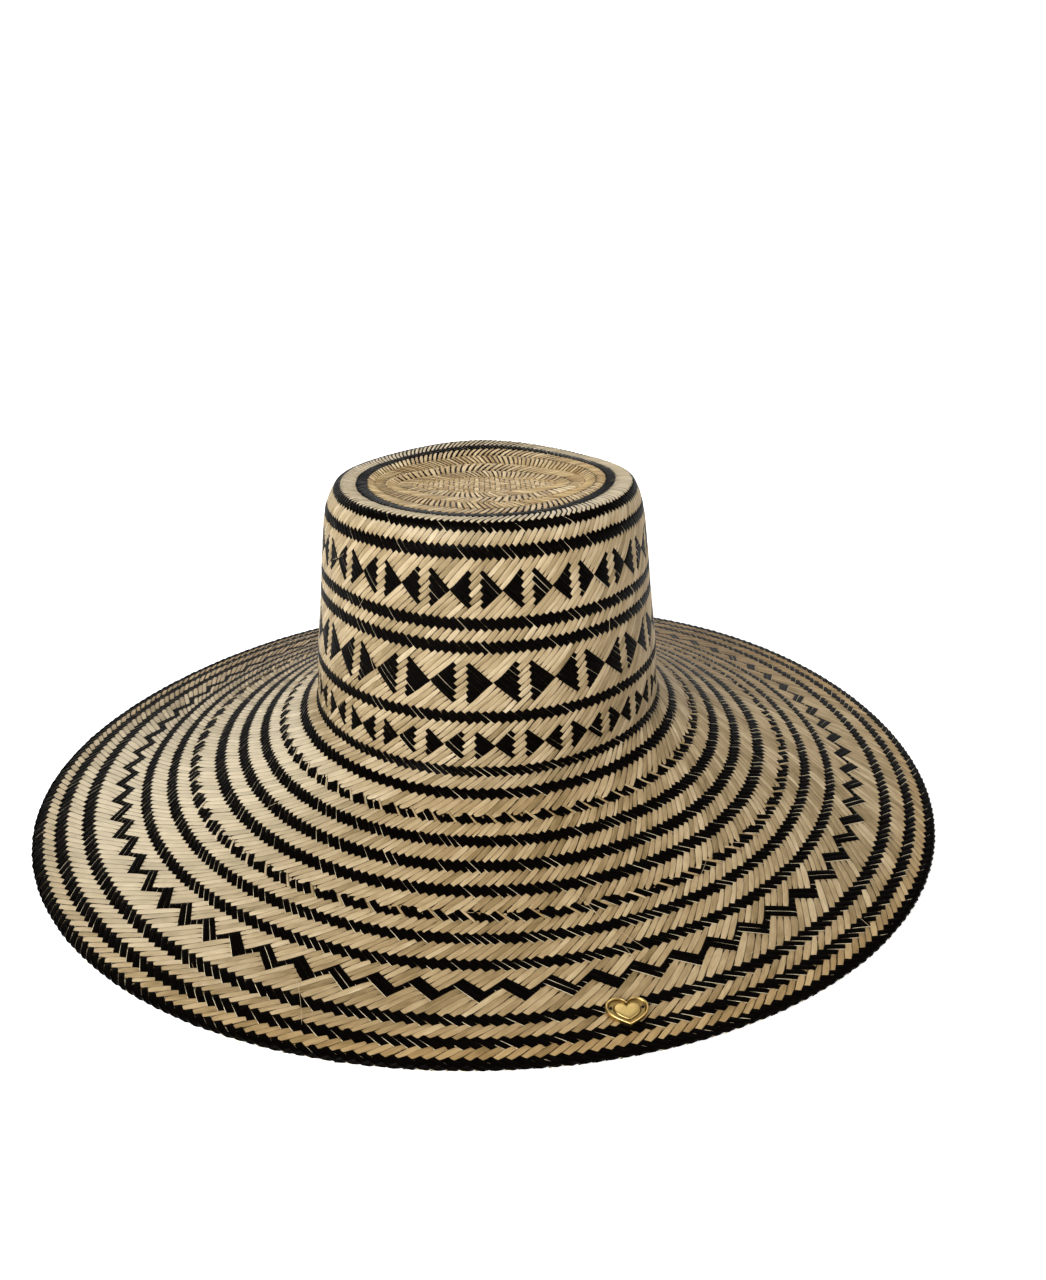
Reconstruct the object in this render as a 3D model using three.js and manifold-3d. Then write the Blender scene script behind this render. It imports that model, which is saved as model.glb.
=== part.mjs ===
// Woven straw hat with an oval flat-topped crown, a wide bell-shaped brim and a small brass heart on the brim.
// Millimetres, +Z up. The origin is on the floor under the middle of the hat, and the front is at -Y.

import * as THREE from 'three';
import { mergeVertices } from 'three/addons/utils/BufferGeometryUtils.js';
import Module from 'manifold-3d';

// Driving dimensions of the woven body
const WALL = 2.0;
const SEGMENTS = 72;
const HEM_WIDTH = 6.0;
const HEM_STEP = 2.5;

// The upper face of the weave from the middle of the crown's top to the brim's edge.
// half is the ring's half width along X, depth its half width along Y, height its level above the floor.
const RINGS = [
  { ring: 'tip_middle', half: 0.0, depth: 0.0, height: 152.2 },
  { ring: 'starting_patch', half: 12.0, depth: 5.6, height: 152.2 },
  { ring: 'hollow_floor', half: 34.0, depth: 16.0, height: 152.4 },
  { ring: 'hollow_side', half: 49.0, depth: 42.0, height: 154.0 },
  { ring: 'hollow_rim', half: 62.5, depth: 73.3, height: 156.2 },
  { ring: 'crest', half: 71.8, depth: 82.6, height: 156.7 },
  { ring: 'shoulder', half: 75.2, depth: 86.4, height: 154.0 },
  { ring: 'upper_wall', half: 78.7, depth: 90.0, height: 145.6 },
  { ring: 'middle_wall', half: 82.6, depth: 94.0, height: 116.1 },
  { ring: 'lower_wall', half: 87.7, depth: 99.8, height: 73.0 },
  { ring: 'crown_foot', half: 90.0, depth: 102.4, height: 48.0 },
  { ring: 'brim_root', half: 93.4, depth: 106.0, height: 43.6 },
  { ring: 'brim_slope_upper', half: 108.8, depth: 121.7, height: 34.6 },
  { ring: 'brim_slope_middle', half: 130.4, depth: 142.9, height: 25.5 },
  { ring: 'brim_slope_lower', half: 155.0, depth: 166.0, height: 17.6 },
  { ring: 'brim_foot_slope', half: 178.6, depth: 186.9, height: 11.3 },
  { ring: 'zigzag_band', half: 191.1, depth: 197.5, height: 8.4 },
  { ring: 'outer_band', half: 211.0, depth: 213.7, height: 5.4 },
  { ring: 'hem_top', half: 231.0, depth: 229.0, height: 2.3 },
];
const EDGE = { ring: 'edge', half: 232.0, depth: 230.0, height: 1.1 };

// Driving dimensions of the heart
const HEART_WIDTH = 16.0;
const HEART_LENGTH = 11.4;
const HEART_THICKNESS = 2.0;
const HEART_RIM = 0.86;
const HEART_FIELD = 0.6;
const RECESS_DEPTH = 1.1;
const FIELD_HEIGHT = 0.7;
const BEVEL = 0.25;
const CURVE_STEPS = 6;
const SEWING_HOLE_RADIUS = 0.6;
const SEWING_HOLES = [
  { hole: 'left', across: -5.9, along: 1.9 },
  { hole: 'right', across: 5.9, along: 1.9 },
];
const HEART_TURN = 12.9;
const HEART_TWIST = -13.0;
const HEART_GAP = 0.35;

// One straight leg of the profile as a unit normal that points to the hollow side of the weave
function legNormal(from, to) {
  const run = to.half - from.half;
  const drop = to.height - from.height;
  return new THREE.Vector2(drop, -run).normalize();
}

// The same ring on the hollow side, one wall thickness away from both neighbouring legs
function hollowSide(ring, before, after) {
  const first = legNormal(before, ring);
  const second = legNormal(ring, after);
  const middle = first.clone().add(second).normalize();
  const reach = WALL / middle.dot(first);
  const half = ring.half + middle.x * reach;
  return { half, depth: ring.depth + middle.x * reach, height: ring.height + middle.y * reach };
}

// The hollow side from the hem back to the middle of the crown's top
function hollowRings() {
  const tip = RINGS[0];
  const inner = [{ half: 0, depth: 0, height: tip.height - WALL }];
  for (let i = 1; i < RINGS.length - 1; i += 1) {
    inner.push(hollowSide(RINGS[i], RINGS[i - 1], RINGS[i + 1]));
  }
  return inner.reverse();
}

// The thick flat hem that the hat rests on
function hemRings() {
  const top = RINGS[RINGS.length - 1];
  const outer = { half: top.half, depth: top.depth, height: 0 };
  const inner = { half: top.half - HEM_WIDTH, depth: top.depth - HEM_WIDTH, height: 0 };
  const slope = (RINGS[RINGS.length - 2].height - top.height) / (top.half - RINGS[RINGS.length - 2].half);
  const back = HEM_WIDTH + HEM_STEP;
  const step = { half: top.half - back, depth: top.depth - back, height: top.height + slope * back - WALL };
  return [EDGE, outer, inner, step];
}

// A turned shell whose rings are then stretched from round to their own half depth
function wovenBody() {
  const rings = [...RINGS, ...hemRings(), ...hollowRings()];
  const profile = rings.map((ring) => new THREE.Vector2(ring.half, ring.height)).reverse();
  const geometry = new THREE.LatheGeometry(profile, SEGMENTS);
  const stretch = rings.map((ring) => (ring.half > 0 ? ring.depth / ring.half : 1)).reverse();
  const position = geometry.attributes.position;
  for (let i = 0; i < position.count; i += 1) {
    const x = position.getX(i);
    const y = -position.getZ(i) * stretch[i % rings.length];
    position.setXYZ(i, x, y, position.getY(i));
  }
  geometry.computeVertexNormals();
  return geometry;
}

// A heart of the given scale whose point is towards -Y, drawn about the middle of its length
function heartShape(scale) {
  const w = (HEART_WIDTH / 2) * scale;
  const l = (HEART_LENGTH / 2) * scale;
  const shape = new THREE.Shape();
  shape.moveTo(0, -l);
  shape.bezierCurveTo(0.45 * w, -0.66 * l, w, -0.3 * l, w, 0.33 * l);
  shape.bezierCurveTo(w, 1.0 * l, 0.28 * w, 1.3 * l, 0, 0.62 * l);
  shape.bezierCurveTo(-0.28 * w, 1.3 * l, -w, 1.0 * l, -w, 0.33 * l);
  shape.bezierCurveTo(-w, -0.3 * l, -0.45 * w, -0.66 * l, 0, -l);
  return shape;
}

function heartPlate(scale, bottom, height, bevel) {
  const geometry = new THREE.ExtrudeGeometry(heartShape(scale), {
    depth: height - 2 * bevel,
    curveSegments: CURVE_STEPS,
    bevelEnabled: bevel > 0,
    bevelSegments: 1,
    bevelSize: bevel,
    bevelThickness: bevel,
    bevelOffset: -bevel,
  });
  return geometry.translate(0, 0, bottom + bevel);
}

function sewingHole(hole) {
  const geometry = new THREE.CylinderGeometry(SEWING_HOLE_RADIUS, SEWING_HOLE_RADIUS, 2 * HEART_THICKNESS, 10);
  return geometry.rotateX(Math.PI / 2).translate(hole.across, hole.along, HEART_THICKNESS / 2);
}

const wasm = await Module();
wasm.setup();

function toSolid(geometry) {
  const bare = geometry.clone();
  bare.deleteAttribute('normal');
  bare.deleteAttribute('uv');
  const merged = mergeVertices(bare, 1e-4);
  return new wasm.Manifold(new wasm.Mesh({
    numProp: 3,
    vertProperties: new Float32Array(merged.attributes.position.array),
    triVerts: new Uint32Array(merged.index.array),
  }));
}

function toGeometry(solid) {
  const mesh = solid.getMesh();
  const geometry = new THREE.BufferGeometry();
  geometry.setAttribute('position', new THREE.BufferAttribute(mesh.vertProperties, 3));
  geometry.setIndex(new THREE.BufferAttribute(mesh.triVerts, 1));
  geometry.computeVertexNormals();
  return geometry;
}

// A tray with a raised rim, a bare raised field in the middle and two holes for the sewing thread
function heartCharm() {
  const plate = toSolid(heartPlate(1, 0, HEART_THICKNESS, BEVEL));
  const recess = toSolid(heartPlate(HEART_RIM, HEART_THICKNESS - RECESS_DEPTH, 2 * RECESS_DEPTH, 0));
  const fieldBottom = HEART_THICKNESS - RECESS_DEPTH - BEVEL;
  const field = toSolid(heartPlate(HEART_FIELD, fieldBottom, FIELD_HEIGHT + BEVEL, BEVEL / 2));
  let solid = plate.subtract(recess).add(field);
  for (const hole of SEWING_HOLES) {
    solid = solid.subtract(toSolid(sewingHole(hole)));
  }
  return toGeometry(solid);
}

// A point of the upper face at a ring, turned by degrees from the front towards +X
function bodyPoint(ring, degrees) {
  const turn = THREE.MathUtils.degToRad(degrees);
  return new THREE.Vector3(ring.half * Math.sin(turn), -ring.depth * Math.cos(turn), ring.height);
}

// The heart lies on the outer band with its point towards the edge
function placeHeart(mesh) {
  const index = RINGS.findIndex((ring) => ring.ring === 'outer_band');
  const middle = bodyPoint(RINGS[index], HEART_TURN);
  const uphill = bodyPoint(RINGS[index - 1], HEART_TURN).sub(bodyPoint(RINGS[index + 1], HEART_TURN)).normalize();
  const sideways = bodyPoint(RINGS[index], HEART_TURN + 1).sub(bodyPoint(RINGS[index], HEART_TURN - 1));
  const up = new THREE.Vector3().crossVectors(sideways, uphill).normalize();
  const across = new THREE.Vector3().crossVectors(uphill, up);
  mesh.quaternion.setFromRotationMatrix(new THREE.Matrix4().makeBasis(across, uphill, up));
  mesh.rotateZ(THREE.MathUtils.degToRad(HEART_TWIST));
  mesh.position.copy(middle).addScaledVector(up, HEART_GAP);
}

const straw = new THREE.MeshStandardMaterial({ color: '#c9a76c', roughness: 0.6, metalness: 0.0 });
const brass = new THREE.MeshStandardMaterial({ color: '#d9b25f', roughness: 0.25, metalness: 1.0 });

const body = new THREE.Mesh(wovenBody(), straw);
body.name = 'woven_body';
const heart = new THREE.Mesh(heartCharm(), brass);
heart.name = 'heart_charm';
placeHeart(heart);

const hat = new THREE.Group();
hat.add(body, heart);
export default hat;
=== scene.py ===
"""A straw hat woven from flat natural and dyed strips, with a small brass heart on its brim.

Lengths in this file are millimetres and are turned to metres when a mesh is made. +Z is up and the front is
at -Y. A turn is an angle round the hat in radians, nought at the front and growing towards +X.
"""

import math

import bmesh
import bpy
import numpy as np
from bpy.props import FloatProperty, FloatVectorProperty, IntProperty, PointerProperty
from mathutils import Matrix, Vector


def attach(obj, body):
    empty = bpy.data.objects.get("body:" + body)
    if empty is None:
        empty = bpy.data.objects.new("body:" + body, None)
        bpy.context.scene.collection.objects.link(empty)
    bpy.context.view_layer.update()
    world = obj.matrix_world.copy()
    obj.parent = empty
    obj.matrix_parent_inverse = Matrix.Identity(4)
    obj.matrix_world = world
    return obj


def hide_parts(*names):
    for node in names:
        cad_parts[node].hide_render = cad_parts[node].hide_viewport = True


bl_info = {
    "name": "Woven Straw Hat",
    "version": (1, 0, 0),
    "blender": (4, 5, 0),
    "location": "3D View > Sidebar > Straw Hat",
    "description": "Weaves a straw hat strip by strip around its packed frame and adds its brass heart",
    "category": "Add Mesh",
}

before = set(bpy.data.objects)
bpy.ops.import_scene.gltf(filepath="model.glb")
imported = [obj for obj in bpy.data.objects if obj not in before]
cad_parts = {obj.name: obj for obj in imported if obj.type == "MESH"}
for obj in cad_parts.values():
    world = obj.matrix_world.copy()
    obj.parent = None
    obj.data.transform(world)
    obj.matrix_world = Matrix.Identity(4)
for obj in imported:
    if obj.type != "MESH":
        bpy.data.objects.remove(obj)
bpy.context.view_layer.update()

MM = 0.001
BODY = "root"
HAT_NODE = "woven_body"
HEART_NODE = "heart_charm"

# The outer face of the weave, one row for each measured ring: level of the weave, half width along X,
# half depth along Y, height above the floor. A level is half the height of one crossing's lozenge.
RING_ROWS = np.array([
    (-22.0, 30.5, 12.5, 152.3),
    (-20.5, 34.0, 16.0, 152.4),
    (-14.5, 49.0, 42.0, 154.0),
    (-8.5, 61.5, 72.0, 156.1),
    (-7.0, 64.0, 75.0, 156.4),
    (-3.3, 71.8, 82.6, 156.7),
    (0.0, 75.2, 86.3, 154.3),
    (6.0, 79.4, 90.2, 143.8),
    (15.0, 81.9, 92.3, 127.4),
    (24.0, 83.6, 94.3, 113.0),
    (30.0, 84.7, 95.6, 102.5),
    (50.0, 88.6, 99.9, 71.5),
    (66.0, 90.9, 102.8, 46.6),
    (73.0, 98.3, 110.8, 40.6),
    (80.0, 108.8, 121.0, 34.8),
    (87.0, 119.2, 131.3, 30.1),
    (94.0, 130.4, 142.9, 25.5),
    (101.0, 142.1, 154.0, 21.4),
    (108.0, 155.4, 165.1, 17.7),
    (115.0, 166.4, 175.0, 14.6),
    (123.0, 179.0, 186.2, 11.4),
    (131.0, 191.1, 197.5, 8.4),
    (139.0, 206.2, 209.8, 6.0),
    (146.0, 219.3, 219.4, 4.2),
    (151.0, 228.0, 226.6, 2.8),
    (152.6, 230.6, 228.8, 2.35),
    (153.5, 231.7, 229.7, 1.85),
    (154.2, 232.0, 230.0, 1.1),
    (154.9, 231.7, 229.7, 0.4),
    (155.8, 230.6, 228.6, 0.05),
    (159.0, 225.0, 223.0, 0.1),
])
# The middle of the weave lies so far under its outer face
MIDDLE_DEPTH = 0.9
# The crown's top ends at this level, and its crest begins
TOP_END = -8

# Blunt corners of the rings in the crown's top, as shares of their size at levels
CORNER_LEVELS, CORNER_SHARES = [-22, -15, -9], [0.06, 0.03, 0.0]

# The form of the brim's edge grows from the first of these levels to the second
BRIM_FLARE = (100, 154)
EDGE_RADIUS = 230.0
# Its mean lift off the floor, and then waves round the hat, rise and phase of each part
EDGE_LIFT = 0.9
EDGE_WAVES = [(3, 0.5, 0.8), (5, 0.4, 2.1)]
# How far it is drawn out: the mean, then cosine and sine of one turn to five
DRAW_MEAN = -0.5
EDGE_DRAW = [(0.0, 1.7), (1.0, -1.7), (-1.1, 1.0), (-0.1, 0.6), (0.0, -0.4)]

# The crest: its middle level and reach, its rise at the back and its tilt to the right
CREST_SPAN = (-3, 9)
CREST_RISE = 2.0
CREST_TILT = 0.9
# The crest's fuller outer side: its middle level and reach, its rise, and the turn opposite its middle
FULL_SIDE_SPAN = (0.3, 4.5)
FULL_SIDE_RISE = 1.8
FULL_SIDE_TURN = 0.5
# How far the crest and the crown's top are drawn in at the left, as shares of their size at levels
CREST_DRAW_LEVELS, CREST_DRAW_SHARES = [-18, -9, -3, 0, 5], [0, 0.057, 0.045, 0.02, 0]

# Shifts of the weave: the most levels, the turn round which each lies, and the levels where it is felt
CREST_SHIFT, CREST_SHIFT_SPAN = 1.7, (1, 13)
INNER_SHIFT, INNER_SHIFT_TURN, INNER_SHIFT_SPAN = 1.4, 0.95, (-14, -9, -5, -1.5)
WALL_SHIFT, WALL_SHIFT_TURN, WALL_SHIFT_SPAN = 1.7, 0.25, (4, 13, 34, 50)
WALL_SHIFT_STEEPNESS = 1.7
BRIM_SHIFT, BRIM_SHIFT_TURN, BRIM_SHIFT_SPAN = 0.9, 1.1, (74, 86, 138, 150)

# The front strips of the lower crown lie further apart by this share, by level, and those of the outer brim
# drift by so many strips at the left and at the right
SPREAD_LEVELS, SPREAD_SHARES = [15, 40, 58, 66, 80], [0.0, 0.03, 0.07, 0.07, 0.0]
LEFT_DRIFT, RIGHT_DRIFT = 2.0, 0.5

# Levels where the dyed strips pass over, first and last of each band
DYED_BANDS = [
    (-20, -18), (-14, -12), (-8, -6), (-1, 1), (5, 7), (23, 25), (29, 31), (49, 51), (65, 67), (72, 74),
    (79, 81), (86, 88), (93, 95), (100, 102), (107, 109), (114, 116), (122, 124), (138, 140), (145, 147),
    (151, 170),
]

# Bow-tie bands of the crown: middle level, strips along one side of a bow-tie, strips from one to the next,
# and the natural and the dyed strip that cross in the middle of the front one
BOW_TIES = [
    {"middle": 15, "side": 5, "repeat": 7, "natural": 10, "dyed": -5},
    {"middle": 40, "side": 6, "repeat": 8, "natural": 21, "dyed": -19},
    {"middle": 58, "side": 4, "repeat": 6, "natural": 30, "dyed": -28},
]
ZIGZAG = {"middle": 131, "reach": 4, "repeat": 4, "natural": 67, "dyed": -64}
# Two dyed bands of the brim hold undyed strips too: the first level of each band, and where it has ended
FIRST_MIXED_BAND, FIRST_MIX_END = 79, 83.5
SECOND_MIXED_BAND, SECOND_MIX_END = 107, 111.5
# The dyed strips of the crown's top are dyed from this level on
TOP_DYE_BEGINS = -11.5

# Strips of each family round the hat, by part
MIDDLE_COUNT = 76
TOP_COUNT = 120
CROWN_COUNT = 168
INNER_COUNT = 252
OUTER_COUNT = 288

# A strip has two rings at each crossing, so many levels before and after it
RING_OFFSETS = (-0.25, 0.25)
# The narrowest and the widest room of a strip, in even spacings
ROOM_LIMITS = (0.45, 1.5)
# Rings sway together by so many levels, in waves round the hat that turn by a radian every few levels
RING_SWAY, SWAYS_ROUND, SWAY_LEVELS = 0.1, 5, 9
# How far a ring's level, a lift in mm and a roll in radians wander along a strip
RING_WANDER = 0.06
LIFT_WANDER = 0.03
ROLL_WANDER = 0.05
# The sines in one wander, and the shortest and the longest of them in levels
WANDER_WAVES, WANDER_LEVELS = 3, (7, 34)
# One strip is narrower than another by up to this share of its room
WIDTH_SPREAD = 0.08
# A float bulges in full from this many rings on
LONG_FLOAT_RINGS = 10
# Where natural strips change the side that is tucked under, as the sine of a turn, and how fast. Dyed strips
# keep to one side.
TUCK_CHANGE, TUCK_STEEPNESS = 0.25, 2.5
DYED_TUCK = -0.4
# Natural strips are narrower on the crest, between these levels
CREST_NARROWING, CREST_NARROW_SPAN = 0.28, (-9, -6, -1.5, 0)
# The crown's top is woven more loosely, from narrower strips that painted light makes paler
TOP_PAINTED_LIGHT = 0.75
LOOSE = {"lift_share": 1.8, "width": -0.23, "pale": TOP_PAINTED_LIGHT}
# Natural strips fill their room more fully than dyed ones, whose bounds wander less
NATURAL_WIDTH = 0.06
DYED = {"width": 0.04, "wander": 0.6}
# Where a natural strip ends one level lower than its band, it lies so much higher
TIP_RISE = 0.3
# Groups of strips of uneven width: each one's width in even spacings, the first and the last level where they
# are so in full, and over how many levels that fades
INNER_UNEVEN = ((1.35, 0.7, 0.95), 80, 86, 7)
INNER_MIXED = ((1.28, 1.28, 0.44), 76, 83, 5)
OUTER_UNEVEN = ((1.2, 0.8, 1.1, 0.9), 108, 113, 7)
OUTER_MIXED = ((1.18, 1.18, 1.18, 0.46), 104, 110, 5)

# The twill in the middle of the crown's top: step from strip to strip, half width and half depth of its oval,
# height in its middle and rise towards its rim
TWILL_PITCH = 2.55
TWILL_REACH = (37.0, 19.0)
TWILL_HEIGHT, TWILL_RISE = 152.25, 0.1
# Its lift as a share of the weave's, the wander of its strips, their narrowest and widest room, and by what
# share of it they are narrower than the weave's
TWILL_LIFT_SHARE = 1.3
TWILL_WANDER, TWILL_ROOM, TWILL_NARROWER = 0.16, (0.6, 1.3), 0.06

# Brown cast of the undyed straw, and the levels or the turn where each part of it lies. At the brim's front
# and back it is painted shade. Below nought it is painted light that makes the strips paler.
TOP_BROWN = 0.85
EDGE_BROWN, EDGE_BROWN_SPAN = 0.45, (140, 148)
# painted shade: the brim's front is made browner
FRONT_PAINTED_SHADE = 0.35
# painted shade: the brim's back is made browner, from this negative cosine on
BACK_PAINTED_SHADE, BACK_BEGINS = 1.6, 0.1
# painted light: the crest's strips are made paler, towards a cream, between these levels
CREST_PAINTED_LIGHT, CREST_PAINTED_LIGHT_SPAN = 0.6, (-8, -7, -1, 4)
# painted light: the brim's left is made paler, towards a cream, round this turn
LEFT_PAINTED_LIGHT, LEFT_TURN = 0.9, -1.2
BRIM_ROOT = (70, 76)


def near(level, middle, reach):
    """One at the middle level, and in even steps down to nought at a reach from it on both sides."""
    return np.clip(1 - np.abs(level - middle) / reach, 0, 1)


def rising(level, begin, full):
    """Nought up to level begin, one from level full, and even steps between them."""
    return np.clip((level - begin) / (full - begin), 0, 1)


def fade(level, begin, full, still, end, size=1):
    """Nought up to level begin and from level end, the size from full to still, and even steps between
    them."""
    return np.interp(level, [begin, full, still, end], [0, size, size, 0])


def towards(turn, middle, power):
    """One at the middle turn, and nought from a quarter round on both sides: a cosine to a power."""
    return np.clip(np.cos(turn - middle), 0, 1) ** power


def smooth_rows(level, column):
    """A column of RING_ROWS at any level: a cubic between each two rows, whose slope at a row is the harmonic
    mean of the slopes on both sides, or nought where they differ in sign, so it never swings past a row."""
    knots = RING_ROWS[:, 0]
    values = RING_ROWS[:, column]
    gaps = np.diff(knots)
    rises = np.diff(values) / gaps
    before, after = rises[:-1], rises[1:]
    same = before * after > 0
    inner = np.where(same, 2 * before * after / np.where(same, before + after, 1), 0)
    slopes = np.concatenate([rises[:1], inner, rises[-1:]])
    level = np.clip(level, knots[0], knots[-1])
    k = np.clip(np.searchsorted(knots, level, side="right") - 1, 0, len(knots) - 2)
    t = (level - knots[k]) / gaps[k]
    return ((1 + 2 * t) * (1 - t) ** 2 * values[k] + t * (1 - t) ** 2 * gaps[k] * slopes[k]
            + t * t * (3 - 2 * t) * values[k + 1] - t * t * (1 - t) * gaps[k] * slopes[k + 1])


def outer_face(level, turn):
    """The hat's outer face. At each level it is an oval, and the turn is corrected by half the oval's
    flatness times sin(2 turn), so that equal turns are nearly equal arcs. The inner rings of the crown's top
    are drawn out to four blunt corners by a cosine of four turns."""
    level = level - weave_shift(level, turn)
    half = smooth_rows(level, 1)
    depth = smooth_rows(level, 2)
    angle = turn + (depth - half) / (depth + half) / 2 * np.sin(2 * turn)
    corner = 1 + np.interp(level, CORNER_LEVELS, CORNER_SHARES) * np.cos(4 * angle)
    drawn = corner + edge_draw(level, turn) - crest_draw(level, turn)
    height = smooth_rows(level, 3) + edge_wave(level, turn) + crest_wave(level, turn)
    return np.stack([half * drawn * np.sin(angle), -depth * drawn * np.cos(angle), height], -1)


def edge_wave(level, turn):
    """How far the brim is lifted off a level ring: a sum of slow waves round the hat, that grows from the
    middle of the brim to the edge. It is nowhere negative, so the hat rests on the floor in the hollows of
    the wave."""
    wave = EDGE_LIFT
    for waves, rise, phase in EDGE_WAVES:
        wave = wave + rise * np.sin(waves * turn + phase)
    return rising(level, *BRIM_FLARE) ** 2 * wave


def edge_draw(level, turn):
    """How far the brim's edge is drawn in or out of its oval, as a share of its radius: a sum of slow cosines
    and sines round the hat, that grows from the middle of the brim to the edge."""
    total = DRAW_MEAN
    for k, (cosine, sine) in enumerate(EDGE_DRAW, 1):
        total = total + cosine * np.cos(k * turn) + sine * np.sin(k * turn)
    return rising(level, *BRIM_FLARE) ** 1.5 * total / EDGE_RADIUS


def weave_shift(level, turn):
    """How many levels the weave lies further in or up than at the front. On the crest it grows towards the
    back with the square of 1 - cos(turn), and the inner dyed ring lies further in at the right front. On the
    crown's wall it levels off to both sides as a hyperbolic tangent, and on the brim it is the other way at
    the right, by the square of a cosine. Each part fades out by level."""
    crest = CREST_SHIFT * near(level, *CREST_SHIFT_SPAN) * ((1 - np.cos(turn)) / 2) ** 2
    aside = np.tanh(WALL_SHIFT_STEEPNESS * (1 - np.cos(turn - WALL_SHIFT_TURN)))
    wall = WALL_SHIFT * aside * fade(level, *WALL_SHIFT_SPAN)
    brim = BRIM_SHIFT * towards(turn, BRIM_SHIFT_TURN, 2) * fade(level, *BRIM_SHIFT_SPAN)
    inner = INNER_SHIFT * towards(turn, INNER_SHIFT_TURN, 4) * fade(level, *INNER_SHIFT_SPAN)
    return crest + inner + wall - brim


def crest_wave(level, turn):
    """The crest is a little higher in the middle of the back and lower on both sides of it, more so at the
    right: a cosine of three turns and a sine of one, that fade towards the front and away from the crest.
    Towards the back and left its outer side is fuller, by a cosine of one turn."""
    swell = CREST_RISE * np.cos(3 * turn) + CREST_TILT * np.sin(turn)
    wave = -near(level, *CREST_SPAN) * np.clip(-np.cos(turn), 0, 1) * swell
    return wave + FULL_SIDE_RISE * near(level, *FULL_SIDE_SPAN) * (1 - np.cos(turn - FULL_SIDE_TURN)) / 2


def crest_draw(level, turn):
    """How far the rings of the crown's top are drawn in at the left, as a share of their size: it grows with
    the square of 1 - sin(turn)."""
    return np.interp(level, CREST_DRAW_LEVELS, CREST_DRAW_SHARES) * ((1 - np.sin(turn)) / 2) ** 2


def unit(vectors):
    return vectors / np.linalg.norm(vectors, axis=-1, keepdims=True)


def turn_of(place, level, count):
    """The turn of a place, counted in strips from the front. The spread of the lower crown's front strips is
    a sine of one period, added to the even spacing. The drift of the outer brim is the square of the sine."""
    even = 2 * math.pi * place / count
    swing = np.sin(even)
    spread = np.interp(level, SPREAD_LEVELS, SPREAD_SHARES)
    mean, skew = (LEFT_DRIFT + RIGHT_DRIFT) / 2, (LEFT_DRIFT - RIGHT_DRIFT) / 2
    drift = (mean * swing - skew * np.abs(swing)) * swing * 2 * math.pi / count
    return even + spread * swing + (drift if count == OUTER_COUNT else 0)


def middle_of_weave(place, level, count):
    """The middle face of the weave and its frame: the point, the unit normal, the step of one strip round the
    hat and the step of one level down, the last two as central differences of the outer face."""
    tenth = 0.1

    def at(p, lev):
        return outer_face(lev, turn_of(p, lev, count))
    point = at(place, level)
    sideways = (at(place + tenth, level) - at(place - tenth, level)) / (2 * tenth)
    down = (at(place, level + tenth) - at(place, level - tenth)) / (2 * tenth)
    normal = unit(np.cross(down, sideways))
    return point - MIDDLE_DEPTH * normal, normal, sideways, down


def in_bands(level, bands):
    found = np.zeros(np.shape(level), bool)
    for first, last in bands:
        found |= (level >= first) & (level <= last)
    return found


def dyed_on_top(level, natural, dyed):
    """The pattern chart: true where dyed strip number dyed passes over natural strip number natural. Plain
    bands come from DYED_BANDS. A bow-tie is two triangles that touch at one crossing, and is repeated every
    few strips in both directions. The zigzag has bars of two dyed strips over five natural ones, joined where
    the other two dyed strips pass over the last of those five."""
    top = in_bands(level, DYED_BANDS)
    for tie in BOW_TIES:
        n, m = natural - tie["natural"], dyed - tie["dyed"]
        step = np.floor((n + m + tie["repeat"]) / (2 * tie["repeat"])).astype(int) * tie["repeat"]
        n, m = n - step, m - step
        right = (n >= 0) & (m >= 0) & (n + m <= tie["side"] - 1)
        left = (n <= -1) & (m <= -1) & (n + m >= -tie["side"] - 1)
        top |= (np.abs(level - tie["middle"]) < tie["side"] + 1) & (right | left)
    n, m = natural - ZIGZAG["natural"], dyed - ZIGZAG["dyed"]
    start = np.floor(m / ZIGZAG["repeat"]).astype(int) * ZIGZAG["repeat"]
    bar = (m - start < 2) & (np.abs(n - start) <= 2)
    link = (m - start >= 2) & (n == start + 2)
    top |= (np.abs(level - ZIGZAG["middle"]) <= ZIGZAG["reach"]) & (bar | link)
    return top & ~long_float(level, natural)


def long_float(level, natural):
    """True where a natural strip ends one level lower than its band: every second one above the first mixed
    band, and two of seven above the second, so their tips lie in steps."""
    first = (level == FIRST_MIXED_BAND) & (natural % 2 == 0)
    return first | ((level == SECOND_MIXED_BAND) & (2 * natural % 7 < 2))


def slow_wander(rng, rows, level, size):
    """A small wander for each strip: a sum of sines along its levels with a phase of its own."""
    total = np.zeros((rows, level.shape[-1]))
    for k in range(WANDER_WAVES):
        phase = rng.uniform(0, 2 * math.pi, (rows, 1))
        period = rng.uniform(*WANDER_LEVELS, (rows, 1))
        total += np.sin(2 * math.pi * level / period + phase)
    return size * total / math.sqrt(WANDER_WAVES)


def grouped_bounds(own, level, widths, first, last, over):
    """How far the bounds between strips move where strips of different width take turns: the running sum of
    the group's widths less the even spacing, in full from level first to last and fading out over some
    levels."""
    moved = np.concatenate([[0.0], np.cumsum(widths)[:-1]]) - np.arange(len(widths))
    share = np.clip(1 - (level - last) / over, 0, 1) * np.clip(1 - (first - level) / over, 0, 1)
    return (moved - moved.mean())[own % len(widths)] * share


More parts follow.
